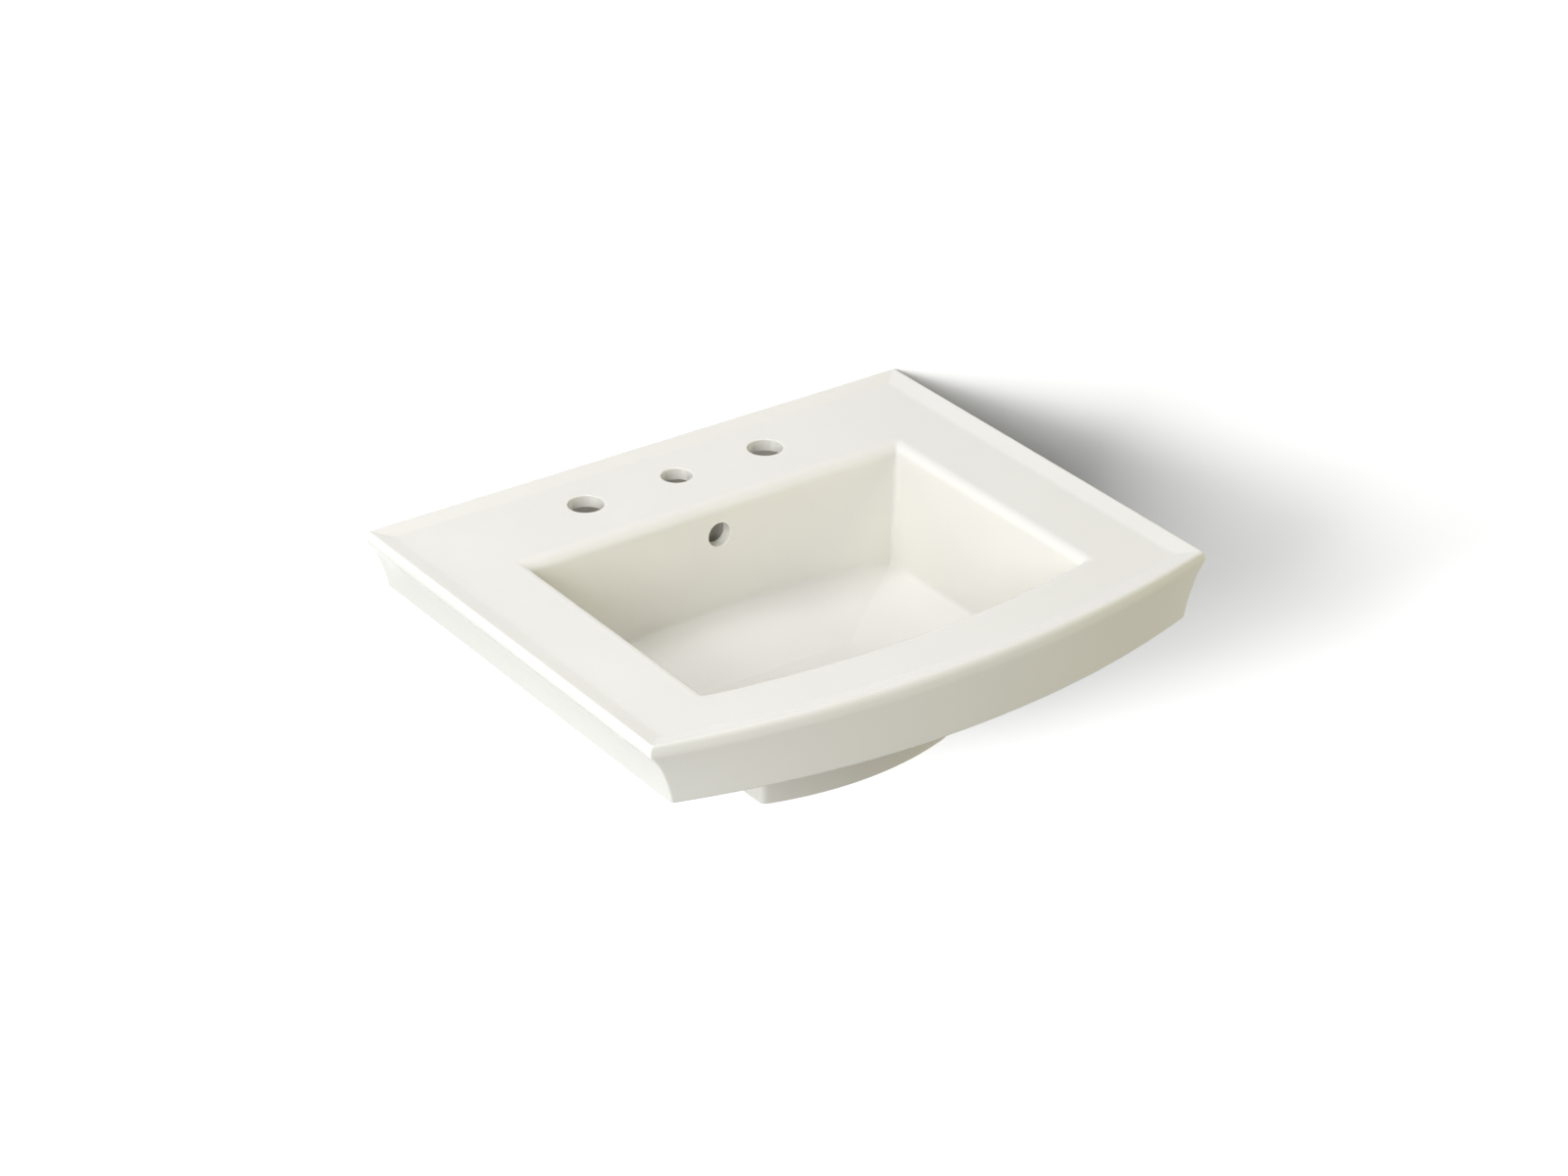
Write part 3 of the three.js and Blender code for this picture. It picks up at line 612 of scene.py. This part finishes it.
def plastic(name, color, roughness):
    """Plastic or rubber with a fine moulded grain."""
    made, tree, shader = material(name, color, roughness)
    lighter = tuple(min(1.0, c * 1.25 + 0.01) for c in color)
    patches = ranged(tree, noise(tree, 60, 3), 0, 1)
    tree.links.new(blended(tree, patches, color, lighter), shader.inputs["Base Color"])
    fine = noise(tree, 600, 3)
    gloss = ranged(tree, fine, roughness * 0.85, roughness * 1.15)
    tree.links.new(gloss, shader.inputs["Roughness"])
    bumped(tree, shader, fine, 0.0001, 0.4)
    return made


CHINA = china()
BISQUE = bisque()
CHROME = metal("chrome_plate", (0.82, 0.83, 0.84), 0.07, 300, (1, 1, 1))
BRASS = metal("turned_brass", (0.66, 0.50, 0.24), 0.28, 1500)
ZINC = metal("zinc_plate", (0.60, 0.62, 0.63), 0.36, 900, (1, 1, 1))
SPRING = metal("spring_wire", (0.45, 0.46, 0.47), 0.25, 900, (1, 1, 1))
RUBBER = plastic("black_rubber", (0.022, 0.022, 0.024), 0.72)
NYLON = plastic("nylon", (0.72, 0.71, 0.66), 0.5)
ACETAL = plastic("acetal", (0.035, 0.038, 0.042), 0.42)


def coat(made, *materials):
    """Gives an object its materials and nothing else."""
    made.data.materials.clear()
    for item in materials:
        made.data.materials.append(item)
    return made


# ---------------------------------------------------------------- pieces


def add(made, node, body):
    """Puts a mesh in the place of a CAD node, on that node's body."""
    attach(made, body)
    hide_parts(node)
    return made


def finish_piece(made, finish, node, body):
    """Shades and coats a fine mesh and puts it in the place of its CAD node."""
    return add(shade(coat(made, finish)), node, body)


def bare_seats(made):
    """Puts the second material on the foot's ground seat and on the back that meets the wall."""
    seat = below(FOOT_DEPTH - 0.2) / 1000
    for face in made.data.polygons:
        on_seat = face.center.z < seat and face.normal.z < -0.9
        on_wall = face.center.y > -0.0004 and face.normal.y > 0.9
        face.material_index = 1 if on_seat or on_wall else 0


basin = make_basin()
coat(basin, CHINA, BISQUE)
bare_seats(basin)
add(basin, "basin", "basin")


def drain(name, profile, cut=0.4, facets=96, closed=True):
    """A piece turned about the outlet's axis from (radius, depth) points, eased by `cut`."""
    points = [np.array((radius, below(depth))) for radius, depth in profile]
    if closed:
        joint = [(points[-1] + points[0]) / 2]
        eased = soften(joint + points + joint, cut, 3)[:-1]
    else:
        eased = soften(points, cut, 3)
    return turned(name, [tuple(point) for point in eased], 0, DRAIN_Y, facets, closed)


def nut(name, across, bore, low, high, x, y, along):
    """A hexagon nut with its corners and its bore chamfered."""
    edge = across * 0.12
    corner = across / 3**0.5
    hexagon = [(AXIS, low), (corner, low), (corner, high), (AXIS, high)]
    made = turned(name, hexagon, x, y, 6, False, along, 0.5)
    flat, wide, slope = across / 2 - 0.2, across / 2 + edge, edge / 2
    chamfer = [(AXIS, low), (flat, low), (wide, low + slope), (wide, high - slope)]
    chamfer += [(flat, high), (AXIS, high)]
    combine(made, turned("nut_chamfer", chamfer, x, y, 96, False, along), "INTERSECT")
    lead = min(0.8, (high - low) / 5)
    hole = [(AXIS, low - 1), (bore + lead + 1, low - 1), (bore, low + lead), (bore, high - lead)]
    hole += [(bore + lead + 1, high + 1), (AXIS, high + 1)]
    return combine(made, turned("nut_bore", hole, x, y, 64, False, along), "DIFFERENCE")


def waste_body():
    """Flange, barrel with its thread below the china, overflow windows, and the latch's bridge."""
    flange = [(BODY_RADIUS, 150), (BODY_RADIUS, 148.3), (30, 147), (32, 146.5), (31.6, 145.4)]
    flange += [(28, 144.6), (24.6, 144.8), (21.6, 146), (19.8, 149.4), (BORE_RADIUS, 152.5)]
    flange += [(BORE_RADIUS, 160)]
    eased = soften([(r, below(d)) for r, d in flange], [0.3, 1, 0.6, 0.6] + [1.5] * 5, 4)
    lower = [(BORE_RADIUS, BODY_END - 1.5), (18.3, BODY_END), (19.9, BODY_END)]
    lower += [(20.4, BODY_END - 0.6)]
    barrel = [tuple(p) for p in eased] + [(r, below(d)) for r, d in lower]
    barrel += thread(BODY_RADIUS, below(BODY_END - 1), below(193), PIPE_PITCH, 1.1)
    made = turned("waste_body_threaded", barrel, 0, DRAIN_Y, 120)
    hub = [(AXIS, HUB_TOP), (HUB_RADIUS, HUB_TOP), (HUB_RADIUS, HUB_BOTTOM), (AXIS, HUB_BOTTOM)]
    combine(made, drain("hub", hub, 0.6, 64, False), "UNION")
    for i in range(3):
        arm = block("arm", (0, -2, below(HUB_BOTTOM)), (18.3, 2, below(HUB_TOP)))
        turn = Matrix.Rotation((i * 2 / 3 + 0.5) * math.pi, 4, "Z")
        arm.data.transform(Matrix.Translation((0, DRAIN_Y / 1000, 0)) @ turn)
        combine(made, arm, "UNION")
    low, high = below(HUB_BOTTOM + 2), below(HUB_TOP - 2)
    bore = [(AXIS, low), (HUB_BORE, low), (HUB_BORE, high), (AXIS, high)]
    combine(made, turned("hub_bore", bore, 0, DRAIN_Y, 64, False), "DIFFERENCE")
    low, high = below(DUCT_FLOOR - 1), below(DUCT_ROOF + 1)
    near, far = DRAIN_Y - WINDOW_HALF, DRAIN_Y + WINDOW_HALF
    window = block("window", (-30, near, low), (30, far, high))
    return combine(made, window, "DIFFERENCE")


def plug_cap():
    """Domed cap, in its raised place."""
    cap = [(AXIS, 142.3), (6, 142.3), (6, 140.4), (17, 139.4), (19.8, 138.6), (20.6, 137.8)]
    cap += [(20.2, 136.9), (15.6, 136), (8, 135.4), (AXIS, 135.2)]
    return drain("plug_cap_domed", cap, [0.4, 0.4, 0.8, 0.6, 0.5, 0.6, 3, 4], closed=False)


def plug_seal():
    """Rubber ring under the cap."""
    seal = [(6.3, 142.2), (15.5, 142.2), (19.8, 140.6), (19.8, 139.5), (17, 139.7), (6.3, 140.7)]
    return drain("plug_seal_ring", seal, [0.3, 0.6, 0.6, 0.3, 0.3, 0.3])


def plug_stem():
    """Stem with its collar and the pin that carries the rotor."""
    stem = [(AXIS, 196.3), (1.8, 196.3), (1.8, 186.3), (5.7, 186.3), (5.7, 182.3), (4, 182.3)]
    stem += [(4, 142.6), (AXIS, 142.6)]
    return drain("plug_stem_turned", stem, 0.3, 48, False)


def latch_housing():
    """Cup with a lid, a shoulder that sits on the bridge and a neck that passes through its hub."""
    cup = [(4.5, 180), (4.5, 182), (6, 182), (6, 220), (2, 220), (2, 222), (7.5, 222), (7.5, 195.7)]
    cup += [(10, 195.7), (10, 182), (9, 180)]
    return drain("latch_housing_cup", cup, 0.4, 64)


def under_gasket():
    """Rubber ring whose spigot centres the barrel in the china."""
    gasket = [(CLEAR_BORE, 192.3), (30, 192.3), (28, 184.3), (22.2, 184.3)]
    gasket += [(21.6, 180), (CLEAR_BORE, 180)]
    return drain("under_gasket_cone", gasket, [0.3, 1.2, 1, 0.1, 0.2, 0.2])


def slip_washer():
    """Nylon ring that lets the lock nut turn without dragging the gasket."""
    washer = [(CLEAR_BORE, 192.6), (29, 192.6), (29, 194.2), (CLEAR_BORE, 194.2)]
    return drain("slip_washer_ring", washer, 0.3)


def lock_nut():
    """Brass nut that pulls the waste down on the china."""
    low, high = below(204.5), below(194.5)
    return nut("lock_nut_hexagon", 52, CLEAR_BORE, low, high, 0, DRAIN_Y, "z")


def latch_nut():
    """Nut that holds the latch housing on the bridge."""
    low, high = below(206.3), below(202.3)
    return nut("latch_nut_hexagon", 20.78, HUB_BORE, low, high, 0, DRAIN_Y, "z")


def hanger(side, x):
    """Adds a stud with a wood thread and a machine thread, and its bush, washer and nut."""
    stud = [(AXIS, -34), (3.9, -34), (4.6, -33.3)]
    stud += thread(STUD_RADIUS, -33, -9, STUD_PITCH, 0.75)
    stud += [(STUD_RADIUS, 6)]
    stud += thread(STUD_RADIUS, 12, 50, WOOD_PITCH, 1.2, 10)
    stud += [(4.2, 52), (2.4, 58), (AXIS, 62)]
    bore = STUD_RADIUS + FIT_GAP
    bush = [(bore, -0.3), (6.7, -0.3), (6.7, -11.3), (13, -11.3), (13, -14.3), (bore, -14.3)]
    washer = [(bore, -14.6), (12.5, -14.6), (12.5, -16.6), (bore, -16.6)]

    def ring(part, profile):
        joint = [(profile[-1][0], (profile[-1][1] + profile[0][1]) / 2)]
        eased = [tuple(point) for point in soften(joint + profile + joint, 0.35, 3)[:-1]]
        return turned(f"hanger_{part}_{side}_turned", eased, x, 0, 64, True, "y")

    def fit(part, made, finish=ZINC):
        finish_piece(made, finish, f"hanger_{part}_{side}", "basin")

    fit("stud", turned(f"hanger_stud_{side}_threaded", stud, x, 0, 48, False, "y"))
    fit("bush", ring("bush", bush), NYLON)
    fit("washer", ring("washer", washer))
    fit("nut", nut(f"hanger_nut_{side}_hexagon", 17, bore, -24.9, -16.9, x, 0, "y"))


finish_piece(slip_washer(), NYLON, "slip_washer", "basin")
finish_piece(waste_body(), CHROME, "waste_body", "basin")
finish_piece(under_gasket(), RUBBER, "under_gasket", "basin")
finish_piece(lock_nut(), BRASS, "lock_nut", "basin")
finish_piece(latch_housing(), ACETAL, "latch_housing", "basin")
finish_piece(latch_nut(), BRASS, "latch_nut", "basin")
finish_piece(plug_stem(), BRASS, "plug_stem", "plug")
finish_piece(plug_seal(), RUBBER, "plug_seal", "plug")
finish_piece(plug_cap(), CHROME, "plug_cap", "plug")
for side, x in (("left", -HANGER_X), ("right", HANGER_X)):
    hanger(side, x)

FINISHES = {"flange_gasket": RUBBER, "latch_rotor": ACETAL, "latch_spring": SPRING}
for name, finish in FINISHES.items():
    coat(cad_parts[name], finish)

# ---------------------------------------------------------------- stage, lights and camera


def one_sided(name, color):
    """A matt material for the stage that can't be seen from behind."""
    made, tree, shader = material(name, color, 0.9)
    shader.inputs["Specular IOR Level"].default_value = 0.1
    side = tree.nodes.new("ShaderNodeNewGeometry")
    clear = tree.nodes.new("ShaderNodeBsdfTransparent")
    either = tree.nodes.new("ShaderNodeMixShader")
    output = tree.nodes["Material Output"]
    tree.links.new(side.outputs["Backfacing"], either.inputs["Fac"])
    tree.links.new(shader.outputs["BSDF"], either.inputs[1])
    tree.links.new(clear.outputs["BSDF"], either.inputs[2])
    tree.links.new(either.outputs["Shader"], output.inputs["Surface"])
    return made


FLOOR_Z = -830.0
SWEEP = 420.0  # radius of the bend between wall and floor
SHEET_Y = 0.6
SHEET_TOP = 4000
SHEET_REACH = 30000


def studio_sheet():
    """A pale wall just behind the basin that sweeps round into a pale floor.

    The studs go through the wall. The floor goes on behind it, for a camera that looks through the
    wall's back."""
    profile = [(SHEET_Y, SHEET_TOP), (SHEET_Y, FLOOR_Z + SWEEP)]
    for i in range(1, 17):
        angle = i / 16 * math.pi / 2
        out, up = SWEEP * (1 - math.cos(angle)), SWEEP * (1 - math.sin(angle))
        profile.append((SHEET_Y - out, FLOOR_Z + up))
    profile.append((-SHEET_REACH, FLOOR_Z))
    profile += [(SHEET_REACH, FLOOR_Z), (SHEET_Y - SWEEP, FLOOR_Z)]
    points = [(x, y, z) for y, z in profile for x in (-SHEET_REACH, SHEET_REACH)]
    gap = len(profile) - 3  # between the floor in front of the wall and the floor behind it
    spans = [i for i in range(len(profile) - 1) if i != gap]
    faces = [(2 * i, 2 * i + 2, 2 * i + 3, 2 * i + 1) for i in spans]
    made = mesh_object("studio_sheet", points, faces)
    made.data.polygons.foreach_set("use_smooth", [True] * len(faces))
    made.data.materials.append(one_sided("studio_white", (0.92, 0.92, 0.92)))
    made.visible_shadow = False
    made.visible_diffuse = False
    return made


SHEET = studio_sheet()


def links(name, state):
    """A collection that makes a lamp light only the studio sheet, or everything but the sheet."""
    made = bpy.data.collections.new(name)
    made.objects.link(SHEET)
    made.collection_objects[0].light_linking.link_state = state
    return made


ON_OBJECT = links("not_the_sheet", "EXCLUDE")
ON_SHEET = links("only_the_sheet", "INCLUDE")
CENTRE = Vector((0, -0.25, 0))  # the middle of the basin, in metres


def light(name, kind, power, color, turn, reach):
    """A light with its direction and the collection that it shines on."""
    data = bpy.data.lights.new(name, kind)
    data.energy = power
    data.color = color
    made = bpy.data.objects.new(name, data)
    made.rotation_euler = turn.to_euler()
    made.light_linking.receiver_collection = reach
    scene.collection.objects.link(made)
    return made, data


def lamp(name, place, size, power, color=(1, 1, 1), mirrored=True):
    """A soft box turned to the middle of the basin, hidden from the camera.

    If it isn't `mirrored`, it doesn't show in the glaze or the chrome either."""
    turn = (CENTRE - Vector(place)).to_track_quat("-Z", "Y")
    made, data = light(name, "AREA", power, color, turn, ON_OBJECT)
    data.shape = "RECTANGLE"
    data.size, data.size_y = size
    made.location = place
    made.visible_camera = False
    made.visible_glossy = mirrored


def sun_on_sheet(name, towards, power, degrees):
    """A distant light that lights only the sheet, so the basin throws its soft shadow on it."""
    turn = Vector(towards).to_track_quat("Z", "Y")
    light(name, "SUN", power, (1, 1, 1), turn, ON_SHEET)[1].angle = math.radians(degrees)


lamp("key", (-2.3, -1.9, 1.05), (1.2, 1.2), 34, mirrored=False)
lamp("key_high", (-2.1, -1.5, 1.9), (1.4, 1.4), 20, (0.9, 0.97, 1))
lamp("left", (-2.8, -0.3, 0.0), (1.6, 1.6), 36, (0.94, 0.97, 1), mirrored=False)
lamp("top", (-0.2, -0.7, 2.6), (2.4, 2.0), 6)
lamp("right", (2.6, -1.2, 1.2), (1.6, 1.6), 17, (1, 1, 0.66), mirrored=False)
lamp("right_level", (2.4, -2.2, 0.1), (1.6, 1.6), 14, (1, 0.88, 0.45), mirrored=False)
lamp("back_top", (-0.3, 0.25, 2.4), (2.0, 0.3), 26, (0.9, 0.89, 1))
lamp("rear", (-1.2, 2.4, 0.8), (1.6, 1.6), 12)
sun_on_sheet("sheet_sun_small", (-3.04, -2.16, 1.6), 1.1, 8)
sun_on_sheet("sheet_sun_side", (-3.04, -1.2, 1.6), 2.5, 20)
sun_on_sheet("sheet_sun_front", (-3.04, -3.4, 1.6), 2.45, 25)
sun_on_sheet("sheet_sun_top", (0, 0, 1), 1.6, 30)


def studio_world():
    """Dim even light on the basin, and a pale backdrop where the camera looks past the sheet."""
    made = bpy.data.worlds.new("studio")
    made.use_nodes = True
    tree = made.node_tree
    fill = tree.nodes["Background"]
    fill.inputs["Color"].default_value = (1, 1, 0.95, 1)
    fill.inputs["Strength"].default_value = 0.15
    backdrop = tree.nodes.new("ShaderNodeBackground")
    backdrop.inputs["Color"].default_value = (0.8, 0.8, 0.8, 1)
    path = tree.nodes.new("ShaderNodeLightPath")
    either = tree.nodes.new("ShaderNodeMixShader")
    tree.links.new(path.outputs["Is Camera Ray"], either.inputs["Fac"])
    tree.links.new(fill.outputs["Background"], either.inputs[1])
    tree.links.new(backdrop.outputs["Background"], either.inputs[2])
    tree.links.new(either.outputs["Shader"], tree.nodes["World Output"].inputs["Surface"])
    return made


scene.world = studio_world()
scene.view_settings.view_transform = "Standard"

SENSOR_WIDTH = 36.0
FOCAL = 2.6335  # focal length as a share of the sensor's width
CAMERA_PLACE = (-1.9058, -2.9698, 1.8029)
YAW, PITCH, ROLL = (math.radians(angle) for angle in (34.91, 28.563, -0.2108))


def photo_camera():
    """The camera at the photograph's place and angle."""
    made = bpy.data.objects.new("camera", bpy.data.cameras.new("camera"))
    made.data.sensor_width = SENSOR_WIDTH
    made.data.lens = FOCAL * SENSOR_WIDTH
    made.data.clip_start = 0.1
    level = math.cos(PITCH)
    forward = Vector((math.sin(YAW) * level, math.cos(YAW) * level, -math.sin(PITCH)))
    level_right = Vector((math.cos(YAW), -math.sin(YAW), 0))
    level_up = level_right.cross(forward)
    right = level_right * math.cos(ROLL) + level_up * math.sin(ROLL)
    up = level_up * math.cos(ROLL) - level_right * math.sin(ROLL)
    axes = Matrix((right, up, -forward)).transposed()
    made.matrix_world = Matrix.Translation(CAMERA_PLACE) @ axes.to_4x4()
    scene.collection.objects.link(made)
    return made


scene.camera = photo_camera()
